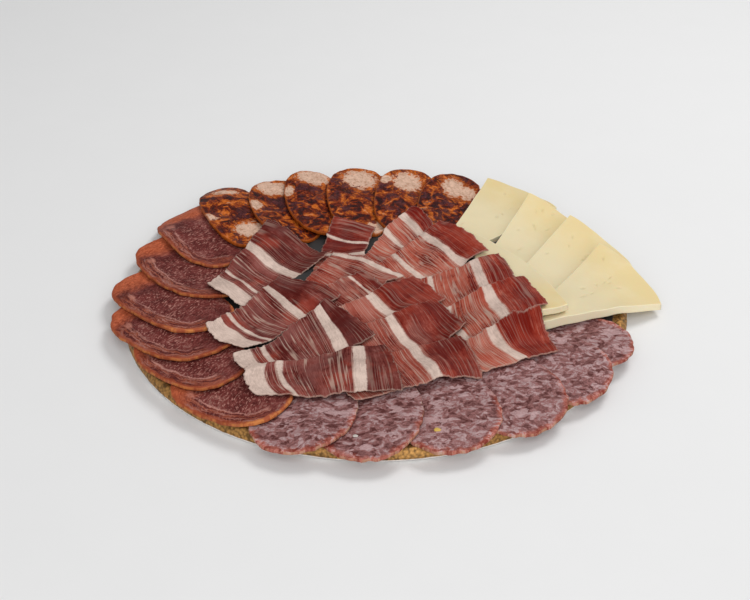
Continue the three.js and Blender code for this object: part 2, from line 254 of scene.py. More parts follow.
class Sheet:
    """One packed sheet of food: its plan points, its heights at them, and its outline.

    Each point of the top stands over one of the underside, so a point's partner is the other
    point nearest to it in plan. The outline is the plan of the triangles that join the top to
    the underside, in order of angle about its middle.
    """

    def __init__(self, node):
        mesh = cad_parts[node].data
        loose = np.empty(len(mesh.vertices) * 3, np.float32)
        mesh.vertices.foreach_get("co", loose)
        points, places = np.unique(loose.reshape(-1, 3), axis=0, return_inverse=True)
        points = points.astype(float)
        corners = np.empty(len(mesh.polygons) * 3, np.int32)
        mesh.polygons.foreach_get("vertices", corners)
        triangles = places.ravel()[corners].reshape(-1, 3)
        gap = np.linalg.norm(points[:, None, :2] - points[None, :, :2], axis=2)
        np.fill_diagonal(gap, np.inf)
        partner = gap.argmin(1)
        high = points[:, 2] > points[partner, 2]
        above = high[triangles]
        wall = np.unique(triangles[above.any(1) & ~above.all(1)])
        outline = points[wall[high[wall]], :2]
        around = outline - outline.mean(0)
        self.outline = outline[np.argsort(np.arctan2(around[:, 1], around[:, 0]))]
        self.plan = points[high, :2]
        self.low = points[partner[high], 2]
        self.high = points[high, 2]

    def heights(self, plan):
        """The underside and the top of the sheet at plan points of any grid."""
        both = np.column_stack((self.low, self.high))
        found = least_bending(self.plan, both, plan.reshape(-1, 2))
        return found.reshape(plan.shape[:-1] + (2,))

    def axes(self, towards):
        """The middle, the long direction nearest to a given one, and the direction to its left."""
        middle = self.outline.mean(0)
        spread = (self.outline - middle).T @ (self.outline - middle)
        along = np.linalg.eigh(spread)[1][:, 1]
        along = along * np.sign(along @ towards)
        return middle, along, np.array((-along[1], along[0]))


def smooth_ring(outline, columns):
    """A closed curve through the outline: its waves, summed at more angles."""
    waves = np.fft.fft(outline[:, 0] + 1j * outline[:, 1])
    half = len(outline) // 2
    full = np.zeros(columns, complex)
    full[:half] = waves[:half]
    full[-half + 1 :] = waves[-half + 1 :]
    full[half] = waves[half] / 2
    full[-half] = waves[half] / 2
    ring = np.fft.ifft(full) * columns / len(outline)
    return np.column_stack((ring.real, ring.imag))


def corner_runs(outline, corners):
    """The outline's points from each of its sharpest turns to the next, both ends included.

    The turn at a point is the angle from the edge before it to the edge after it.
    """
    before = outline - np.roll(outline, 1, axis=0)
    after = np.roll(outline, -1, axis=0) - outline
    cross = before[:, 0] * after[:, 1] - before[:, 1] * after[:, 0]
    turn = np.arctan2(cross, (before * after).sum(1))
    ends = np.sort(np.argsort(turn)[-corners:])
    steps = np.diff(np.append(ends, ends[0] + len(outline)))
    return [outline[(end + np.arange(count + 1)) % len(outline)] for end, count in zip(ends, steps)]


def smooth_run(points, count):
    """So many points, evenly spaced on the smoothest curve through the given ones."""
    reach = np.append(0, np.linalg.norm(np.diff(points, axis=0), axis=1).cumsum())
    at = np.linspace(0, reach[-1], count)
    return least_bending(reach[:, None], points, at[:, None])


def ripple(places, pitch, seed, waves=24):
    """A smooth random height between about minus one and one at plan points.

    It is a sum of cosine waves of random direction and phase, whose lengths are near the pitch.
    """
    rng = np.random.default_rng(seed)
    heading = rng.uniform(0, 2 * math.pi, waves)
    number = 2 * math.pi / (pitch * rng.uniform(0.7, 1.6, waves))
    phase = rng.uniform(0, 2 * math.pi, waves)
    steps = np.stack((np.cos(heading), np.sin(heading))) * number
    return np.cos(places @ steps + phase).sum(-1) / math.sqrt(waves)


def capped_tube_faces(rows, columns):
    """Faces of a tube of closed rings, with a fan to a first and a last point.

    Rings run anticlockwise seen from the first point, which is vertex 0. The last vertex
    closes the far end.
    """
    ring = np.arange(columns)
    after = np.roll(ring, -1)
    start = 1 + columns * np.arange(rows - 1)[:, None]
    quads = np.stack(
        (start + ring, start + columns + ring, start + columns + after, start + after), axis=-1
    ).reshape(-1, 4)
    first = np.column_stack((np.zeros(columns, int), 1 + ring, 1 + after))
    last_ring = 1 + columns * (rows - 1)
    pole = np.full(columns, last_ring + columns)
    last = np.column_stack((last_ring + ring, pole, last_ring + after))
    return quads.tolist() + first.tolist() + last.tolist()


def slab_path(edge_steps, wall_steps):
    """The path of a slab's section from the middle of its top round to the middle below.

    Returns the share of the radius inside the rounding, the angle on the rounding, and the
    side of the wall: 1 at the top, -1 at the underside.
    """
    inner = np.linspace(0, 1, SLICE_ROWS)[1:] ** 0.9
    down = np.linspace(90, 0, edge_steps + 1)[1:]
    wall = np.linspace(1, -1, wall_steps + 2)[1:-1]
    share = np.concatenate((inner, np.ones(2 * edge_steps + wall_steps), inner[::-1]))
    bend = np.concatenate(
        (np.full(len(inner), 90), down, np.zeros(wall_steps), -down[::-1], np.full(len(inner), -90))
    )
    side = np.concatenate(
        (np.ones(len(inner) + edge_steps), wall, -np.ones(edge_steps + len(inner)))
    )
    return share, np.radians(bend), side


def slab(sheet, ring, edge, wall_steps, relief):
    """A closed slice: points on rings from the middle of the top, over the edge, to the middle below.

    In plan a ring is the outline, drawn in about its middle by its share of the radius, plus
    the edge rounding times the cosine of its angle. Its height is the sheet's own middle
    height, plus the wall's side times the half thickness less the rounding, plus the rounding
    times the sine of its angle, plus the relief.
    """
    share, bend, side = slab_path(4, wall_steps)
    middle = ring.mean(0)
    reach = np.linalg.norm(ring - middle, axis=1)
    out = (ring - middle) / reach[:, None]
    radius = share[:, None] * (reach - edge) + edge * np.cos(bend)[:, None]
    plan = np.vstack((middle, (middle + out * radius[..., None]).reshape(-1, 2), middle))
    columns = len(ring)
    bend = np.concatenate(([math.pi / 2], np.repeat(bend, columns), [-math.pi / 2]))
    side = np.concatenate(([1], np.repeat(side, columns), [-1]))
    low, high = sheet.heights(plan).T
    height = (high + low) / 2 + ((high - low) / 2 - edge) * side + edge * np.sin(bend)
    height = height + relief(plan, side)
    points = np.column_stack((plan, height))
    return points, capped_tube_faces(len(share), columns)


def rim_distance(plan, ring):
    """The distance of each plan point from the nearest point of the ring."""
    return np.linalg.norm(plan[:, None] - ring[None], axis=2).min(1)


def patch_between(sides):
    """A grid of plan points between four sides that run round anticlockwise.

    It is the blend of the two long sides, plus the blend of the two ends, less the blend of
    the four corners.
    """
    lower, end, upper, start = sides
    upper, start = upper[::-1], start[::-1]
    u = np.linspace(0, 1, len(lower))[:, None, None]
    v = np.linspace(0, 1, len(start))[None, :, None]
    between_long = (1 - v) * lower[:, None] + v * upper[:, None]
    between_ends = (1 - u) * start[None] + u * end[None]
    corners = (1 - v) * ((1 - u) * lower[0] + u * lower[-1]) + v * ((1 - u) * upper[0] + u * upper[-1])
    return between_long + between_ends - corners


def two_sided_faces(rows, columns):
    """Faces of a top grid and an underside grid that share the points of their rim."""
    top = np.arange(rows * columns).reshape(rows, columns)
    under = top.copy()
    inner = np.arange((rows - 2) * (columns - 2)).reshape(rows - 2, columns - 2)
    under[1:-1, 1:-1] = rows * columns + inner

    def quads(grid):
        return np.stack((grid[:-1, :-1], grid[1:, :-1], grid[1:, 1:], grid[:-1, 1:]), -1).reshape(-1, 4)

    return quads(top).tolist() + quads(under)[:, ::-1].tolist()


def make_mesh(name, points, faces, face_map=None, values=None):
    """A smooth mesh with a map in millimetres on its face and named values at its points."""
    mesh = bpy.data.meshes.new(name)
    mesh.from_pydata(points.tolist(), [], faces)
    mesh.polygons.foreach_set("use_smooth", np.ones(len(mesh.polygons), bool))
    for key, value in (values or {}).items():
        spread = np.broadcast_to(value, len(points)).astype(np.float32)
        mesh.attributes.new(key, "FLOAT", "POINT").data.foreach_set("value", spread)
    if face_map is not None:
        corner = np.empty(len(mesh.loops), np.int32)
        mesh.loops.foreach_get("vertex_index", corner)
        layer = mesh.uv_layers.new(name="Face")
        layer.data.foreach_set("uv", face_map[corner].astype(np.float32).ravel())
    mesh.update()
    return mesh


def add_piece(name, mesh, material, node=None):
    """Puts a mesh in the scene as a piece that rides with the tray, and may stand for a node."""
    if mesh.validate():
        raise RuntimeError(f"the mesh of {name} has faults")
    piece = bpy.data.objects.new(name, mesh)
    bpy.context.scene.collection.objects.link(piece)
    mesh.materials.append(material)
    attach(piece, "root")
    if node:
        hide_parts(node)
    return piece


def nodes_of(kind):
    """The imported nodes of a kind, by number."""
    return sorted(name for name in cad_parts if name.startswith(kind))


# ---------------------------------------------------------------- shaders


class Signal:
    """A shader output. Arithmetic on it adds Math nodes."""

    def __init__(self, paint, socket):
        self.paint = paint
        self.socket = socket

    def __add__(self, other):
        return self.paint.maths("ADD", self, other)

    def __radd__(self, other):
        return self.paint.maths("ADD", other, self)

    def __sub__(self, other):
        return self.paint.maths("SUBTRACT", self, other)

    def __rsub__(self, other):
        return self.paint.maths("SUBTRACT", other, self)

    def __mul__(self, other):
        return self.paint.maths("MULTIPLY", self, other)

    def __rmul__(self, other):
        return self.paint.maths("MULTIPLY", other, self)


class Paint:
    """A material under construction."""

    def __init__(self, name):
        self.material = bpy.data.materials.new(name)
        self.material.use_nodes = True
        self.tree = self.material.node_tree
        self.tree.nodes.clear()

    def node(self, kind, settings=None, sockets=None, output=0):
        """Adds a node: its settings first, then the values or links of its sockets."""
        node = self.tree.nodes.new("ShaderNode" + kind)
        for key, value in (settings or {}).items():
            if key == "stops":
                self.set_stops(node.color_ramp.elements, value)
            else:
                setattr(node, key, value)
        for key, value in (sockets or {}).items():
            if isinstance(value, Signal):
                self.tree.links.new(value.socket, node.inputs[key])
            else:
                node.inputs[key].default_value = value
        return Signal(self, node.outputs[output]) if node.outputs else None

    def set_stops(self, elements, stops):
        while len(elements) < len(stops):
            elements.new(0.5)
        for element, (position, *shade) in zip(elements, stops):
            element.position = position
            element.color = rgba(*shade)

    def ramp(self, value, *stops):
        """A colour that goes through the stops, each a position and what rgba takes."""
        return self.node("ValToRGB", {"stops": stops}, {0: value})

    def maths(self, operation, first, second=0.0):
        return self.node("Math", {"operation": operation}, {0: first, 1: second})

    def step(self, value, start, end):
        """Goes smoothly from 0 where the value is at start to 1 where it is at end."""
        sockets = {"Value": value, "From Min": start, "From Max": end}
        return self.node("MapRange", {"interpolation_type": "SMOOTHSTEP"}, sockets)

    def band(self, value, middle, half, soft):
        """1 where the value is within half of the middle, and 0 past the soft margin."""
        away = self.maths("ABSOLUTE", value - middle)
        return 1 - self.step(away, half, half + soft)

    def mix(self, factor, first, second, blend="MIX"):
        """The first colour where the factor is 0, and the second where it is 1."""
        settings = {"data_type": "RGBA", "blend_type": blend}
        return self.node("Mix", settings, {0: factor, 6: first, 7: second}, output=2)

    def value(self, name):
        """A named value of the piece's points."""
        return self.node("Attribute", {"attribute_name": name}, output=2)

    def parts(self, vector):
        """The three parts of a vector."""
        node = self.tree.nodes.new("ShaderNodeSeparateXYZ")
        self.tree.links.new(vector.socket, node.inputs[0])
        return [Signal(self, output) for output in node.outputs]

    def vector(self, x, y, z):
        return self.node("CombineXYZ", None, {0: x, 1: y, 2: z})

    def face(self):
        """The piece's own map, in millimetres."""
        return self.node("UVMap", {"uv_map": "Face"})

    def place(self):
        """The place on the board, in metres."""
        return self.node("TexCoord", output=3)

    def noise(self, vector, scale, detail=2.0, roughness=0.5, distortion=0.0, output=0):
        sockets = {
            "Vector": vector,
            "Scale": scale,
            "Detail": detail,
            "Roughness": roughness,
            "Distortion": distortion,
        }
        return self.node("TexNoise", None, sockets, output)

    def wobble(self, vector, scale, amount):
        """The vector, pushed about by noise."""
        push = self.noise(vector, scale, output=1)
        push = self.node("VectorMath", {"operation": "SUBTRACT"}, {0: push, 1: (0.5, 0.5, 0.5)})
        push = self.node("VectorMath", {"operation": "SCALE"}, {0: push, "Scale": amount})
        return self.node("VectorMath", {"operation": "ADD"}, {0: vector, 1: push})

    def cells(self, vector, scale, smooth=0.25):
        """A random number for each cell of a Voronoi pattern, blended at its edges."""
        settings = {"feature": "SMOOTH_F1"}
        sockets = {"Vector": vector, "Scale": scale, "Smoothness": smooth}
        shade = self.node("TexVoronoi", settings, sockets, output=1)
        return self.parts(shade)[0]

    def bump(self, height, strength, distance):
        return self.node(
            "Bump", None, {"Height": height, "Strength": strength, "Distance": distance}
        )

    def finish(self, base, roughness, normal=None, **constants):
        """Ends the material in one shader. Constants are the shader's own plain values."""
        sockets = {"Base Color": base, "Roughness": roughness}
        if normal is not None:
            sockets["Normal"] = normal
        for key, value in constants.items():
            sockets[key.replace("_", " ")] = value
        shader = self.node("BsdfPrincipled", None, sockets)
        self.node("OutputMaterial", None, {"Surface": shader})
        return self.material


def rgba(values, gain=1.0, depth=1.0):
    """A setting's colour with an alpha. Gain brightens it, and a depth over one deepens it."""
    return tuple(min(value**depth * gain, 1.0) for value in values) + (1.0,)


def tray_material(settings):
    """Matt black floor, hammered gilding up and over the edge, and a bare line at the foot."""
    paint = Paint("black tray with gilded edge")
    place = paint.place()
    x, y, z = paint.parts(place)
    radius = paint.maths("SQRT", x * x + y * y)
    speck = paint.noise(place, 1500, 3)
    patchy = paint.noise(place, 260, 3, 0.6)
    floor = paint.mix(patchy, rgba(settings.floor), rgba(settings.floor, 2.2))
    bent = paint.wobble(place, 0.5 / settings.dimple, settings.dimple * 0.8)
    sockets = {"Vector": bent, "Scale": 1 / settings.dimple}
    hammer = paint.node("TexVoronoi", {"feature": "SMOOTH_F1"}, sockets)
    gold = paint.ramp(
        hammer * 0.7 + patchy * 0.5,
        (0.30, settings.gilding, 1.15),
        (0.52, settings.gilding, 0.80),
        (0.72, settings.gilding, 0.30),
    )
    start = TRAY_RADIUS - 0.008
    gilded = paint.step(radius + (patchy - 0.5) * 0.0012, start, start + 0.0008)
    foot = (1 - paint.step(z + (patchy - 0.5) * 0.0006, 0.0018, 0.0022)) * gilded
    base = paint.mix(foot, paint.mix(gilded, floor, gold), rgba(settings.foot))
    metal = gilded * (1 - foot)
    roughness = 0.46 + patchy * 0.16
    normal = paint.bump(hammer * metal + speck * 0.12, 0.5, settings.dimple_depth)
    return paint.finish(base, roughness, normal, Metallic=metal * 0.65)


def slice_place(paint):
    """A place on a slice, its depth in the joint that it was cut from, and the two as a vector.

    All are in millimetres.
    """
    u, v, _ = paint.parts(paint.face())
    depth = paint.value("depth")
    return u, v, depth, paint.vector(u, v, depth)


def salchichon_material(settings):
    """Mauve mince crowded with soft pale flecks, reddening to a mottled rim."""
    paint = Paint("salchichon")
    u, v, cut, place = slice_place(paint)
    rim = paint.value("rim")
    fine = paint.noise(place, 1.1, 3, 0.7)
    broad = paint.noise(place, 0.12, 3, 0.6)
    lying = paint.wobble(paint.vector(u * 0.72, v, cut), 0.14, 7.0)
    torn = paint.wobble(lying, 0.5, 1.6)
    fleck = paint.cells(torn, MM / settings.fleck, 0.5)
    strand = paint.noise(torn, 0.45, 4, 0.6, 0.8)
    tone = fleck * 0.26 + strand * 0.62 + fine * 0.28 + broad * 0.15 - 0.13
    base = paint.ramp(
        tone,
        (0.37, settings.lean, 1.6, 1.5),
        (0.46, settings.lean, 1.20),
        (0.54, settings.lean, 1.85),
        (0.62, settings.fat, 0.75),
        (0.75, settings.fat, 1.10),
    )
    large = paint.cells(paint.wobble(paint.vector(u * 0.7, v, cut), 0.3, 3.5), 0.20, 0.20)
    piece = paint.step(large + (fine - 0.5) * 0.20 + (strand - 0.5) * 0.55, 0.80, 0.92)
    fatty = paint.mix(fine, rgba(settings.fat, 0.85), rgba(settings.fat, 1.3))
    base = paint.mix(piece * 0.65, base, fatty)
    reddened = 1 - paint.step(rim + (broad - 0.5) * 6 + (strand - 0.5) * 6, 0.4, 3.2)
    reddened = reddened * paint.step(paint.value("outer"), -6, 10)
    mottled = paint.ramp(
        tone,
        (0.36, settings.rim, 1.3, 1.5),
        (0.48, settings.rim),
        (0.58, settings.rim, 1.5),
        (0.68, settings.fat, 1.15),
    )
    base = paint.mix(reddened * 0.75, base, mottled)
    casing = (1 - paint.step(rim + (fine - 0.5) * 0.9, 0.05, 0.6)) * paint.step(strand, 0.42, 0.60)
    base = paint.mix(casing * 0.6, base, rgba(settings.casing))
    roughness = 0.62 - tone * 0.12
    normal = paint.bump(tone, 0.7, 0.0006)
    return paint.finish(base, roughness, normal, Specular_IOR_Level=0.12)


def lomo_material(settings):
    """Maroon loin: fine pale dashes, a broken seam along its lower side, and a paprika rim.

    The golden line at the very edge is partly spice crust and partly painted highlight.
    """
    paint = Paint("lomo")
    u, v, cut, place = slice_place(paint)
    rim = paint.value("rim")
    fine = paint.noise(place, 0.9, 4, 0.7)
    broad = paint.noise(place, 0.09, 3, 0.55)
    leaning = paint.wobble(paint.vector(u + v * 0.35, v * 0.38, cut), 0.08, 5.0)
    fibre = paint.noise(leaning, 0.9, 3, 0.65)
    lean = paint.ramp(
        fibre * 0.45 + broad * 0.45 + fine * 0.35 - 0.125,
        (0.37, settings.lean, 1.5, 1.5),
        (0.47, settings.lean, 0.95),
        (0.55, settings.lean, 1.45),
        (0.66, settings.seam, 0.62),
    )
    dash = paint.step(paint.noise(leaning, 1.25, 1, 0.5), 0.56, 0.66)
    middle = 1 - paint.step(paint.maths("ABSOLUTE", u + 4), 10, 24)
    lean = paint.mix(dash * (middle * 0.45 + 0.12), lean, rgba(settings.seam, 1.15))
    depth = rim + (broad - 0.5) * 7 + (fibre - 0.5) * 1.6
    inset = settings.seam_inset / MM
    low_side = paint.step(v, 0, 5) * (1 - paint.step(u + (broad - 0.5) * 8, 15, 22))
    grain = paint.noise(paint.vector(u * 0.12, depth * 1.2, cut), 0.75, 4, 0.6)
    skirt = (1 - paint.step(depth, inset - 1.4, inset + 0.6)) * low_side
    layers = paint.ramp(
        grain,
        (0.36, settings.lean, 1.2, 1.5),
        (0.46, settings.lean, 1.0),
        (0.53, settings.paprika, 0.85),
        (0.60, settings.seam, 0.75),
        (0.68, settings.seam, 1.1),
    )
    base = paint.mix(skirt * 0.62, lean, layers)
    seam = paint.band(depth, inset, 0.20, 0.80) * low_side * paint.step(grain + fine * 0.3, 0.52, 0.70)
    base = paint.mix(seam * 0.65, base, rgba(settings.seam, 1.2))
    near = paint.wobble(paint.vector(u * 0.7, depth, 0.0), 0.3, 3.0)
    sockets = {0: near, 1: (11.0, inset - 0.5, 0.0)}
    away = paint.node("VectorMath", {"operation": "DISTANCE"}, sockets, output=1)
    knob = (1 - paint.step(away, 1.0, 3.2)) * low_side
    gristle = paint.mix(fine, rgba(settings.paprika, 0.8), rgba(settings.seam, 1.3))
    base = paint.mix(knob * 0.7, base, gristle)
    warm = paint.step(paint.value("end") + (broad - 0.5) * 18 + (fibre - 0.5) * 5, -21, -9)
    spice = paint.ramp(
        fine * 0.6 + fibre * 0.5 - 0.05,
        (0.36, settings.paprika, 0.9, 1.3),
        (0.50, settings.paprika),
        (0.64, settings.paprika, 1.5),
    )
    base = paint.mix(warm * 0.92, base, spice)
    coarse = paint.noise(place, 0.28, 4, 0.65)
    crust = paint.mix(coarse, rgba(settings.paprika, 0.6, 1.6), rgba(settings.paprika, 1.1))
    ragged = rim + (coarse - 0.5) * 3.5 + (broad - 0.5) * 3.0
    casing = 1 - paint.step(ragged, 0.6, 2.4)
    base = paint.mix(casing * 0.75, base, crust)
    # A golden line at the very edge: partly spice crust, partly painted highlight.
    golden_spice_and_highlight = 1 - paint.step(rim + (coarse - 0.5) * 1.6, 0.1, 0.7)
    golden_spice_and_highlight = golden_spice_and_highlight * (paint.step(coarse, 0.44, 0.62) * 0.75 + 0.08)
    base = paint.mix(golden_spice_and_highlight, base, rgba(settings.spice))
    tip = (1 - paint.step(ragged, 0.8, 2.4)) * (1 - paint.step(u, -26, -18)) * paint.value("tip")
    grains = paint.step(coarse, 0.42, 0.62)
    grains = paint.mix(grains, rgba(settings.paprika, 0.9), rgba(settings.spice, 1.2))
    base = paint.mix(tip * 0.8, base, grains)
    roughness = 0.48 + fine * 0.16
    normal = paint.bump(fibre * 0.5 + fine * 0.7 + seam * 0.4, 0.6, 0.0005)
    return paint.finish(base, roughness, normal, Specular_IOR_Level=0.07)


def chorizo_material(settings):
    """Rich paprika mince with dark lean, and a few large cracked pieces of fat."""
    paint = Paint("chorizo")
    u, v, cut, place = slice_place(paint)
    rim = paint.value("rim")
    fine = paint.noise(place, 0.85, 4, 0.72)
    crumbs = paint.noise(paint.wobble(place, 0.3, 4.0), 0.33, 4, 0.66, 0.4)
    swirl = paint.noise(paint.wobble(place, 0.07, 12.0), 0.12, 5, 0.62, 1.2)
    blotch = paint.noise(paint.vector(u + 40, v, cut), 0.085, 3, 0.6, 1.4)
    tone = swirl * 1.20 + crumbs * 0.42 + fine * 0.20 - 0.41
    base = paint.ramp(
        tone,
        (0.34, settings.lean, 0.45),
        (0.44, settings.paprika, 0.42, 1.1),
        (0.51, settings.paprika),
        (0.58, settings.oil, 0.75),
        (0.66, settings.oil, 1.25),
        (0.78, settings.fat, 0.8, 1.3),
    )
    dark = paint.step(blotch + (crumbs - 0.5) * 0.5 + (fine - 0.5) * 0.15, 0.54, 0.60)
    lean = paint.ramp(
        crumbs * 0.5 + fine * 0.5,
        (0.38, settings.lean, 0.4),
        (0.50, settings.lean, 1.1),
        (0.62, settings.lean, 2.6),
    )
    base = paint.mix(dark * 0.9, base, lean)
    cream = paint.ramp(
        fine * 0.3 + crumbs * 0.5 + swirl * 0.25 - 0.025,
        (0.36, settings.oil, 1.1),
        (0.42, settings.fat, 0.85, 1.3),
        (0.49, settings.fat),
        (0.60, settings.fat, 1.25),
    )
    ragged = paint.value("patch") + (fine - 0.5) * 0.5 + (crumbs - 0.5) * 1.7 + (swirl - 0.5) * 1.2
    stained = 1 - paint.step(ragged + (swirl - 0.5) * 1.5, 0.95, 1.25)
    oily = paint.mix(fine, rgba(settings.oil, 0.7), rgba(settings.oil, 1.5))
    base = paint.mix(stained * 0.7, base, oily)
    base = paint.mix((1 - paint.step(ragged, 0.86, 1.04)) * 0.95, base, cream)
    casing = 1 - paint.step(rim + (fine - 0.5) * 1.6, 0.3, 1.3)
    skin = paint.mix(fine, rgba(settings.paprika, 0.3), rgba(settings.oil, 1.3))
    base = paint.mix(casing * 0.75, base, skin)
    roughness = 0.32 + fine * 0.22
    normal = paint.bump(crumbs * 0.8 + fine * 0.7, 0.8, 0.0008)
    return paint.finish(base, roughness, normal, Specular_IOR_Level=0.07)


def cheese_material(settings):
    """Pale firm paste, yellower towards the rind, with faint mottling and knife marks.

    The cut walls and top edges carry a painted highlight, and the small holes painted shade.
    """
    paint = Paint("cheese")
    place = paint.place()
    broad = paint.noise(place, 45, 3, 0.6)
    fine = paint.noise(place, 900, 3, 0.6)
    x, y, z = paint.parts(place)
    yellow = 1 - paint.step(paint.value("rind") + (broad - 0.5) * 16, 2, 42)
    base = paint.mix(yellow, rgba(settings.paste), rgba(settings.outer))
    base = paint.mix(paint.step(broad, 0.40, 0.68) * 0.35, base, rgba(settings.paste, 1.10))
    # Painted shade in the small holes: the outer paste, darkened, laid where they dip.
    base = paint.mix(paint.value("pit") * 0.35, base, rgba(settings.outer, 0.55))
    # Painted highlight on the cut walls and along the top edges of each slice.
    cut = 1 - paint.step(paint.value("rim"), 0.15, 0.60)
    base = paint.mix(cut * 0.7, base, rgba(settings.cut))
    knife = paint.noise(paint.vector(x * 60, y * 60, z * 1400), 1.0, 2, 0.5)
    roughness = 0.48 + broad * 0.14
    normal = paint.bump(fine * 0.4 + broad * 0.4 + knife * 0.35, 0.25, 0.0004)
    return paint.finish(
        base, roughness, normal, Specular_IOR_Level=0.3, Subsurface_Weight=0.1, Subsurface_Scale=0.004
    )


def ham_material(settings):
    """Lean ham with straight fine streaks across the slice, and bands and an end of white fat.

    Its pale torn rim is partly pale fat and partly painted highlight.
    """
    paint = Paint("ham")
    u, v, cut, place = slice_place(paint)
    bright = paint.value("bright")
    rare = settings.streak / MM
    fine = paint.noise(place, 0.9, 4, 0.7)
    broad = paint.noise(place, 0.06, 3, 0.6)
    bent = u + (paint.noise(place, 0.03, 1) - 0.5) * 2.5 + (paint.noise(place, 0.11, 1) - 0.5) * 0.25
    wide = paint.noise(paint.vector(bent, v * 0.12, cut + 20.0), 0.45 / rare, 3, 0.6)
    streak = paint.noise(paint.vector(bent, v * 0.02, cut), 1.5 / rare, 0)
    second = paint.noise(paint.vector(bent, v * 0.03, cut + 40.0), 2.8 / rare, 0)
    fibre = paint.noise(paint.vector(bent, v * 0.14, cut + 80.0), 4.0 / rare, 2, 0.6)
    inner = paint.step(paint.value("inner") + (broad - 0.5) * 8, 0, 5)
    outer_lean = paint.mix(bright, rgba(settings.lean, 0.95, 0.92), rgba(settings.bright, 0.92, 0.76))
    inner_lean = paint.mix(bright, rgba(settings.lean, 0.95, 1.13), rgba(settings.bright, 1.05, 1.16))
    lean = paint.mix(inner, outer_lean, inner_lean)
    deep = paint.mix(bright, rgba(settings.lean, 1.5, 1.7), rgba(settings.bright, 1.1, 1.6))
    pale = paint.mix(bright, rgba(settings.lean, 0.88, 0.66), rgba(settings.bright, 1.05, 0.64))
    tone = wide * 0.55 + fibre * 0.30 + broad * 0.55 + fine * 0.20 + bright * 0.02 - 0.30 - inner * 0.06
    base = paint.mix(paint.step(tone, 0.38, 0.52), deep, lean)
    base = paint.mix(paint.step(tone, 0.50, 0.68) * 0.85, base, pale)
    tint = paint.noise(place, 0.045, 3, 0.6)
    base = paint.mix(paint.step(tint, 0.50, 0.68) * 0.55, base, rgba(settings.bright, 1.15))
    dull = (1 - paint.step(tint, 0.32, 0.48)) * (0.50 - bright * 0.30)
    base = paint.mix(dull, base, rgba(settings.shade))
    here = paint.step(paint.noise(place, 0.07, 2), 0.32, 0.52) * (1 - inner * 0.60)
    line = paint.band(streak, 0.5, 0.006, 0.050) * here
    hair = paint.band(second, 0.5, 0.006, 0.070) * (1 - inner * 0.8)
    hair_colour = paint.mix(bright, pale, rgba(settings.fat, 0.85, 1.3))
    base = paint.mix(hair * (0.42 + bright * 0.16), base, hair_colour)
    base = paint.mix(line * 0.66, base, rgba(settings.fat, 0.95, 1.4))
    wavy = paint.value("fat") + (wide - 0.5) * 2.4 + (fine - 0.5) * 0.8 + (broad - 0.5) * 2.0
    shade = paint.step(broad * 0.5 + fibre * 0.3 + fine * 0.2, 0.38, 0.62)
    fat = paint.mix(shade, rgba(settings.fat, 0.80, 1.1), rgba(settings.fat, 1.14))
    base = paint.mix(paint.step(wavy, -0.45, 0.55) * 0.97, base, fat)
    # Pale torn rim: partly pale fat at the tear, partly painted highlight along the edge.
    edge = 1 - paint.step(paint.value("rim") + (fine - 0.5) * 2.0, 0.05, 0.80)
    base = paint.mix(edge * 0.45, base, rgba(settings.fat, 0.95, 1.2))
    roughness = 0.46 + fine * 0.16
    normal = paint.bump(streak * 0.5 + fibre * 0.5 + fine * 0.3, 0.6, 0.0004)
    return paint.finish(base, roughness, normal, Specular_IOR_Level=0.08)


# ---------------------------------------------------------------- pieces


def add_slice(node, settings, material, towards, turn, depth, swell, extra=None):
    """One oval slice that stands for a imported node.

    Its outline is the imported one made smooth, moved in and out along its radius by the swell,
    and its surfaces carry a slow ripple. An extra function may give more values for its points.
    """
    sheet = Sheet(node)
    ring = smooth_ring(sheet.outline, SLICE_COLUMNS)
    middle, along, left = sheet.axes(towards)
    number = int(node.rsplit("_", 1)[1])
    around = ring - ring.mean(0)
    ring = ring + around * (swell * ripple(around * 3.2, SWELL_PITCH, 40 + number))[:, None]

    def relief(plan, side):
        return SLICE_RIPPLE * ripple(plan, SLICE_RIPPLE_PITCH, 90 + number)

    points, faces = slab(sheet, ring, settings.edge, 0, relief)
    offset = points[:, :2] - middle
    if turn:
        face_map = np.column_stack((offset @ along, offset @ left)) / MM
    else:
        face_map = offset / MM
    values = {"rim": rim_distance(points[:, :2], ring) / MM, "depth": depth}
    if extra:
        values.update(extra(points[:, :2], ring, middle, along))
    mesh = make_mesh(node, points, faces, face_map, values)
    return add_piece(f"{node}_slice", mesh, material, node)


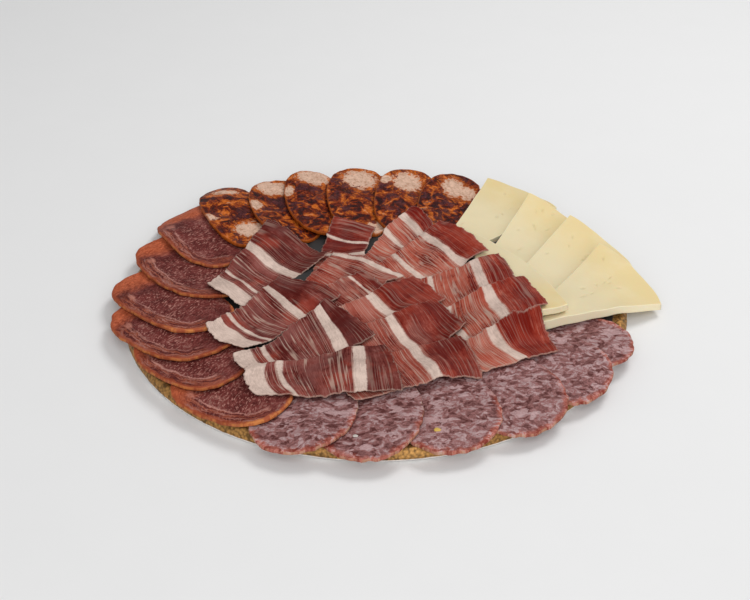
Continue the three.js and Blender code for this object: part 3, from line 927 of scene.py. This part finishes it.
class BOARD_OT_tray(bpy.types.Operator):
    """Turns the tray, with hammer marks in its gilded edge"""

    bl_idname = "board.tray"
    bl_label = "Tray"

    def execute(self, context):
        settings = context.scene.board.tray
        points, faces = self.turned(settings)
        mesh = make_mesh("tray", points, faces)
        add_piece("tray_body", mesh, tray_material(settings), "tray")
        return {"FINISHED"}

    def turned(self, settings):
        """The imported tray's own section, carried round its axis.

        The section's points are the distinct pairs of radius and height, in order of angle
        about a point inside it. The lip is a smooth curve through them, moved in and out by
        the hammer marks, which fade at the floor and the foot.

        Known fault: seen from that point, the inner edge of the rim's flat top comes before the
        edge of the floor. So the floor takes the height of the top, a millimetre above the
        packed floor, and most slices are sunk a little in it.
        """
        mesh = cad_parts["tray"].data
        loose = np.empty(len(mesh.vertices) * 3, np.float32)
        mesh.vertices.foreach_get("co", loose)
        loose = loose.reshape(-1, 3)
        pairs = np.column_stack((np.linalg.norm(loose[:, :2], axis=1), loose[:, 2]))
        pairs = np.unique(np.round(pairs, 5), axis=0)
        lip = pairs[pairs[:, 0] > 0.5 * TRAY_RADIUS]
        seen_from = np.array((0.9 * TRAY_RADIUS, TRAY_HIGH[2] / 2))
        lip = lip[np.argsort(-np.arctan2(*(lip - seen_from).T[::-1]))]
        floor = lip[0, 1]
        steps = np.arange(len(lip), dtype=float)[:, None]
        fine = np.linspace(0, len(lip) - 1, LIP_POINTS)[:, None]
        lip = least_bending(steps, lip, fine)
        inner = np.linspace(0, lip[0, 0], 14)[1:-1]
        under = np.linspace(lip[-1, 0], 0, 6)[1:-1]
        radius = np.concatenate((inner, lip[:, 0], under))
        height = np.concatenate((np.full(len(inner), floor), lip[:, 1], np.zeros(len(under))))
        angle = np.linspace(0, 2 * math.pi, TRAY_COLUMNS, endpoint=False)
        mark = np.zeros(len(radius))
        mark[len(inner) : len(inner) + len(lip)] = np.sin(np.linspace(0, math.pi, len(lip))) ** 0.5
        along = np.concatenate(([0], np.hypot(np.diff(radius), np.diff(height)).cumsum()))
        across = np.cos(angle)[None] * TRAY_RADIUS
        up = np.sin(angle)[None] * TRAY_RADIUS + along[:, None]
        wrapped = np.stack(np.broadcast_arrays(across, up), axis=-1)
        dents = ripple(wrapped, settings.dimple * 1.6, 5) * mark[:, None] * settings.dimple_depth * 0.6
        wide = radius[:, None] + dents * 0.7
        points = np.stack(
            (wide * np.cos(angle), wide * np.sin(angle), height[:, None] + dents * 0.6), axis=-1
        )
        points[..., 2] = np.maximum(points[..., 2], 0)
        points = np.vstack(((0, 0, floor), points.reshape(-1, 3), (0, 0, 0)))
        return points, capped_tube_faces(len(radius), TRAY_COLUMNS)


class BOARD_OT_salchichon(bpy.types.Operator):
    """Lays the slices of salchichon along the front"""

    bl_idname = "board.salchichon"
    bl_label = "Salchichon slices"

    # For each peppercorn, its shade, its slice, its place from the slice's middle, its radii and
    # its colour.
    corns = (
        ("pale", "salchichon_4", (-0.003, -0.0165), (0.0017, 0.0014, 0.0005), (0.62, 0.40, 0.07)),
        ("dark", "salchichon_5", (-0.0055, -0.017), (0.0013, 0.0010, 0.0004), (0.55, 0.50, 0.46)),
    )

    def execute(self, context):
        settings = context.scene.board.salchichon
        material = salchichon_material(settings)
        for number, node in enumerate(nodes_of("salchichon_"), 1):
            outward = Sheet(node).outline.mean(0)
            add_slice(
                node, settings, material, outward, False, 23.0 * number, 0.012, self.side
            )
        self.peppercorns()
        return {"FINISHED"}

    def side(self, plan, ring, middle, along):
        """How far each point is on the side of the tray's edge, in millimetres."""
        return {"outer": (plan - middle) @ along / MM}

    def peppercorns(self):
        """A cut peppercorn in each of two slices: a flat dome with a wandering radius."""
        for shade, node, offset, radii, tone in self.corns:
            name = f"peppercorn_{shade}"
            sheet = Sheet(node)
            centre = sheet.outline.mean(0) + offset
            high = sheet.heights(centre[None])[0, 1]
            tilt = np.radians(np.linspace(90, -90, CORN_ROWS + 2))[1:-1, None]
            angle = np.linspace(0, 2 * math.pi, CORN_COLUMNS, endpoint=False)[None]
            lumps = 1 + 0.08 * np.cos(3 * angle + 1) + 0.05 * np.sin(5 * angle)
            x = radii[0] * lumps * np.cos(tilt) * np.cos(angle)
            y = radii[1] * lumps * np.cos(tilt) * np.sin(angle)
            z = radii[2] * np.sin(tilt) + 0 * angle
            points = np.stack((x, y, z), axis=-1).reshape(-1, 3)
            points = np.vstack(((0, 0, radii[2]), points, (0, 0, -radii[2])))
            points = points + (centre[0], centre[1], high + CORN_RISE)
            mesh = make_mesh(name, points, capped_tube_faces(CORN_ROWS, CORN_COLUMNS))
            paint = Paint(name.replace("_", " "))
            grain = paint.noise(paint.place(), 1800, 3, 0.6)
            base = paint.mix(grain, rgba(tone, 0.6), rgba(tone, 1.3))
            material = paint.finish(base, 0.45 + grain * 0.2, paint.bump(grain, 0.4, 0.0002))
            add_piece(name, mesh, material)


class BOARD_OT_lomo(bpy.types.Operator):
    """Lays the slices of lomo along the left"""

    bl_idname = "board.lomo"
    bl_label = "Lomo slices"

    def execute(self, context):
        settings = context.scene.board.lomo
        material = lomo_material(settings)
        towards = np.array((-0.7, 0.7))
        for number, node in enumerate(nodes_of("lomo_"), 1):
            tip = node in ("lomo_1", "lomo_4")

            def extra(plan, ring, middle, along):
                reach = ((ring - middle) @ along).max()
                return {"end": ((plan - middle) @ along - reach) / MM, "tip": float(tip)}

            add_slice(node, settings, material, towards, True, 5.0 * number, 0.006, extra)
        return {"FINISHED"}


class BOARD_OT_chorizo(bpy.types.Operator):
    """Lays the slices of chorizo along the back"""

    bl_idname = "board.chorizo"
    bl_label = "Chorizo slices"

    # For each slice, its large pieces of fat: their place on the board and their radii, in
    # millimetres.
    fat = {
        "chorizo_1": ((-90, 104, 8, 3.5), (-72, 60, 9, 8), (-98, 70, 7, 4)),
        "chorizo_2": ((-63, 111, 10, 8), (-71, 84, 5, 6)),
        "chorizo_3": ((-38, 123, 11, 8.5), (-52, 104, 3, 6)),
        "chorizo_4": ((-10, 122, 10.5, 11), (1, 66, 7, 6)),
        "chorizo_5": ((19, 119, 9, 11), (6, 120, 4, 5)),
        "chorizo_6": ((47, 111, 6.5, 11), (55, 106, 5, 7)),
    }

    def execute(self, context):
        settings = context.scene.board.chorizo
        material = chorizo_material(settings)
        towards = np.array((0.0, 1.0))
        nodes = nodes_of("chorizo_")
        if set(nodes) != set(self.fat):
            raise RuntimeError("the chorizo slices and their pieces of fat differ")
        for number, node in enumerate(nodes, 1):
            pieces = np.array(self.fat[node]) * MM

            def extra(plan, ring, middle, along):
                away = (plan[:, None] - pieces[:, :2]) / pieces[:, 2:]
                return {"patch": np.linalg.norm(away, axis=2).min(1)}

            add_slice(node, settings, material, towards, True, 6.0 * number, 0.008, extra)
        return {"FINISHED"}


class BOARD_OT_cheese(bpy.types.Operator):
    """Fans the slices of cheese at the right"""

    bl_idname = "board.cheese"
    bl_label = "Cheese slices"

    def execute(self, context):
        settings = context.scene.board.cheese
        material = cheese_material(settings)
        for number, node in enumerate(nodes_of("cheese_"), 1):
            sheet = Sheet(node)
            runs = corner_runs(sheet.outline, 4)
            rind = smooth_run(max(runs, key=len), 60)
            ring = np.vstack([smooth_run(run, 6 + 18 * (len(run) - 1))[:-1] for run in runs])
            rng = np.random.default_rng(300 + number)
            outer = ring[rng.integers(0, len(ring), CHEESE_PITS)]
            share = rng.uniform(0.15, 0.85, (CHEESE_PITS, 1))
            inside = ring.mean(0) + (outer - ring.mean(0)) * share
            sizes = rng.uniform(*PIT_SIZES, CHEESE_PITS)

            def pits(plan):
                away = np.linalg.norm(plan[:, None] - inside[None], axis=2)
                return np.exp(-((away / sizes) ** 2)).max(1)

            def relief(plan, side):
                swell = CHEESE_RIPPLE * ripple(plan, CHEESE_RIPPLE_PITCH, 310 + number)
                return swell - np.where(side > 0, settings.pit_depth * pits(plan), 0)

            points, faces = slab(sheet, ring, settings.edge, CHEESE_WALL_STEPS, relief)
            plan = points[:, :2]
            values = {
                "rind": rim_distance(plan, rind) / MM,
                "rim": rim_distance(plan, ring) / MM,
                "pit": pits(plan),
            }
            mesh = make_mesh(node, points, faces, None, values)
            add_piece(f"{node}_slice", mesh, material, node)
        return {"FINISHED"}


class BOARD_OT_ham(bpy.types.Operator):
    """Drapes the slices of ham down the middle"""

    bl_idname = "board.ham"
    bl_label = "Ham slices"

    # For each slice, its bands of fat: where the band crosses the slice's lower and upper
    # long side, as shares of its length, and its half width in millimetres.
    bands = {
        "ham_left_1": ((0.05, 0.10, 6.0), (0.22, 0.29, 0.9), (0.60, 0.66, 3.0)),
        "ham_left_2": ((0.06, 0.05, 8.0), (0.27, 0.24, 1.4), (0.61, 0.77, 2.7)),
        "ham_left_3": ((0.05, 0.06, 7.0), (0.29, 0.26, 1.6), (0.66, 0.90, 3.2)),
        "ham_left_4": ((0.04, 0.05, 6.8), (0.28, 0.21, 1.5), (0.71, 0.80, 3.0)),
        "ham_middle_1": ((0.50, 0.50, 1.8), (0.71, 0.74, 1.1)),
        "ham_middle_2": ((0.95, 0.93, 1.4),),
        "ham_middle_3": ((0.84, 0.84, 1.0),),
        "ham_middle_4": ((0.55, 0.50, 2.3),),
        "ham_middle_5": ((0.54, 0.56, 2.4),),
        "ham_middle_6": ((0.66, 0.62, 2.4),),
        "ham_right_1": ((0.76, 0.80, 2.4), (0.46, 0.50, 1.3)),
        "ham_right_2": ((0.72, 0.73, 2.2), (0.30, 0.34, 1.5)),
        "ham_right_3": ((0.72, 0.76, 2.3), (0.36, 0.36, 1.5)),
        "ham_right_4": ((0.62, 0.66, 2.4), (0.31, 0.33, 1.5)),
        "ham_right_5": ((0.67, 0.54, 2.3),),
    }

    # How far each group of slices goes from the outer slices' lean to the bright lean.
    brightness = {"left": 0.0, "middle": 0.55, "right": 1.0}

    def execute(self, context):
        settings = context.scene.board.ham
        material = ham_material(settings)
        nodes = nodes_of("ham_")
        if set(nodes) != set(self.bands):
            raise RuntimeError("the ham slices and their bands of fat differ")
        for number, node in enumerate(nodes):
            self.drape(node, number, settings, material)
        return {"FINISHED"}

    def drape(self, node, number, settings, material):
        """One slice, as a grid along and across it.

        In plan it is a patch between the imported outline's four sides, whose edges are torn by
        fine and coarse random teeth that fade a little way in. Its height is the packed
        sheet's, with a slow ripple and an uneven rise next to the rim, and its half thickness
        falls to nothing at the rim as a quarter circle. Its map is stretched so that the bands
        of fat, and the streaks with them, lie at even lengths.
        """
        sheet = Sheet(node)
        runs = corner_runs(sheet.outline, 4)
        if len(runs[0]) < len(runs[1]):
            runs = runs[1:] + runs[:1]
        front_left = np.array((1.0, 0.6))
        if runs[0][0] @ front_left > runs[0][-1] @ front_left:
            runs = runs[2:] + runs[:2]
        counts = (HAM_ALONG, HAM_ACROSS, HAM_ALONG, HAM_ACROSS)
        whole = [smooth_run(run, count) for run, count in zip(runs, counts)]
        sides = [
            self.torn(side, settings.tooth, 500 + 10 * number + place)
            for place, side in enumerate(whole)
        ]
        plan = patch_between(whole)
        inset = rim_distance(plan.reshape(-1, 2), np.vstack(whole)).reshape(plan.shape[:2])
        plan = plan + (patch_between(sides) - plan) * np.exp(-inset / TOOTH_FADE)[..., None]
        low, high = np.moveaxis(sheet.heights(plan), -1, 0)
        inset = rim_distance(plan.reshape(-1, 2), np.vstack(sides)).reshape(plan.shape[:2])
        inset[[0, -1], :] = 0
        inset[:, [0, -1]] = 0
        round_edge = np.sqrt(1 - (1 - np.minimum(inset / HAM_RIM, 1)) ** 2)
        middle = (low + high) / 2 + HAM_RIPPLE * ripple(plan, HAM_RIPPLE_PITCH, 700 + number)
        frill = FRILL_RISE * np.exp(-inset / FRILL_REACH)
        middle = middle + frill * (0.5 + ripple(plan, FRILL_PITCH, 800 + number))
        half = (high - low) / 2 * round_edge
        top = np.dstack((plan, middle + half)).reshape(-1, 3)
        under = np.dstack((plan, middle - half))[1:-1, 1:-1].reshape(-1, 3)
        points = np.vstack((top, under))
        long, wide = (np.linalg.norm(side[-1] - side[0]) / MM for side in sides[:2])
        lower, upper, half_width = np.array(sorted(self.bands[node])).T
        even = (lower + upper) / 2
        share = np.linspace(0, 1, HAM_ALONG)
        across = np.linspace(0, 1, HAM_ACROSS)
        level = np.concatenate(([0], even, [1]))
        grain = np.column_stack(
            [
                np.interp(share, np.concatenate(([0], lower + (upper - lower) * v, [1])), level)
                for v in across
            ]
        )
        fat = (half_width - np.abs(grain[..., None] - even) * long).max(-1)
        main = even[np.argmax(half_width * (even > 0.4))]

        def both(grid):
            return np.concatenate((grid.ravel(), grid[1:-1, 1:-1].ravel()))

        face_map = np.column_stack((both(grain) * long, both(across + 0 * grain) * wide))
        values = {
            "fat": both(fat),
            "inner": both(grain - main) * long,
            "rim": both(inset) / MM,
            "bright": self.brightness[node.split("_")[1]],
            "depth": 17.0 * number,
        }
        mesh = make_mesh(node, points, two_sided_faces(HAM_ALONG, HAM_ACROSS), face_map, values)
        add_piece(f"{node}_slice", mesh, material, node)

    def torn(self, side, tooth, seed):
        """A side pushed out and in along its normal by random teeth that fade at its ends."""
        rng = np.random.default_rng(seed)
        ahead = np.gradient(side, axis=0)
        out = np.column_stack((ahead[:, 1], -ahead[:, 0])) / np.linalg.norm(ahead, axis=1)[:, None]
        fine = rng.uniform(-1, 1, len(side))
        coarse = np.convolve(rng.uniform(-1, 1, len(side)), np.hanning(9), "same")
        fade = np.sin(np.linspace(0, math.pi, len(side))) ** 0.3
        return side + out * (tooth * fade * (0.5 * fine + 0.5 * coarse))[:, None]


class BOARD_OT_stage(bpy.types.Operator):
    """Lays the pale table and sets the camera and the soft light"""

    bl_idname = "board.stage"
    bl_label = "Stage"

    def execute(self, context):
        settings = context.scene.board.stage
        mesh = bpy.data.meshes.new("table")
        signs = ((-1, -1), (1, -1), (1, 1), (-1, 1))
        corners = [(x * TABLE_REACH, y * TABLE_REACH, 0) for x, y in signs]
        mesh.from_pydata(corners, [], [(0, 1, 2, 3)])
        table = bpy.data.objects.new("table", mesh)
        context.scene.collection.objects.link(table)
        table.location.z = -TABLE_DROP
        paint = Paint("pale table")
        grain = paint.noise(paint.place(), 30, 2)
        base = paint.mix(grain, rgba(settings.floor, 0.99), rgba(settings.floor, 1.01))
        mesh.materials.append(paint.finish(base, 0.7))
        world = bpy.data.worlds.new("studio")
        context.scene.world = world
        world.use_nodes = True
        backdrop = world.node_tree.nodes["Background"]
        backdrop.inputs["Color"].default_value = (1, 1, 1, 1)
        backdrop.inputs["Strength"].default_value = settings.room
        self.softbox("side", (0.50, 0.45, 1.0), 0.5, settings.side)
        self.softbox("front", (0.10, -1.6, 1.2), 2.2, settings.front)
        lens = bpy.data.cameras.new("camera")
        lens.lens = CAMERA_LENS
        lens.sensor_width = SENSOR_WIDTH
        camera = bpy.data.objects.new("camera", lens)
        camera.location = CAMERA_PLACE
        camera.rotation_euler = (math.radians(CAMERA_TILT), 0, 0)
        context.scene.collection.objects.link(camera)
        context.scene.camera = camera
        context.scene.view_settings.view_transform = "Standard"
        return {"FINISHED"}

    def softbox(self, name, place, size, power):
        """A round soft light that faces the middle of the board."""
        lamp = bpy.data.lights.new(name, "AREA")
        lamp.shape = "DISK"
        lamp.size = size
        lamp.energy = power
        softbox = bpy.data.objects.new(name, lamp)
        softbox.location = place
        softbox.rotation_euler = Vector(place).to_track_quat("Z", "Y").to_euler()
        bpy.context.scene.collection.objects.link(softbox)


class BOARD_PT_panel(bpy.types.Panel):
    """The board's pieces and settings"""

    bl_idname = "BOARD_PT_panel"
    bl_label = "Charcuterie Board"
    bl_space_type = "VIEW_3D"
    bl_region_type = "UI"
    bl_category = "Board"

    def draw(self, context):
        board = context.scene.board
        for part in PARTS:
            box = self.layout.box()
            box.operator(f"board.{part}")
            group = getattr(board, part)
            for key in group.__annotations__:
                box.prop(group, key)


PARTS = ("tray", "salchichon", "lomo", "chorizo", "cheese", "ham", "stage")
CLASSES = (
    BoardTray,
    BoardSalchichon,
    BoardLomo,
    BoardChorizo,
    BoardCheese,
    BoardHam,
    BoardStage,
    BoardSettings,
    BOARD_OT_tray,
    BOARD_OT_salchichon,
    BOARD_OT_lomo,
    BOARD_OT_chorizo,
    BOARD_OT_cheese,
    BOARD_OT_ham,
    BOARD_OT_stage,
    BOARD_PT_panel,
)


def register():
    for kind in CLASSES:
        bpy.utils.register_class(kind)
    bpy.types.Scene.board = PointerProperty(type=BoardSettings)


def unregister():
    del bpy.types.Scene.board
    for kind in reversed(CLASSES):
        bpy.utils.unregister_class(kind)


def main():
    register()
    for part in PARTS:
        getattr(bpy.ops.board, part)()
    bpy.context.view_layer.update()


if __name__ == "__main__":
    main()
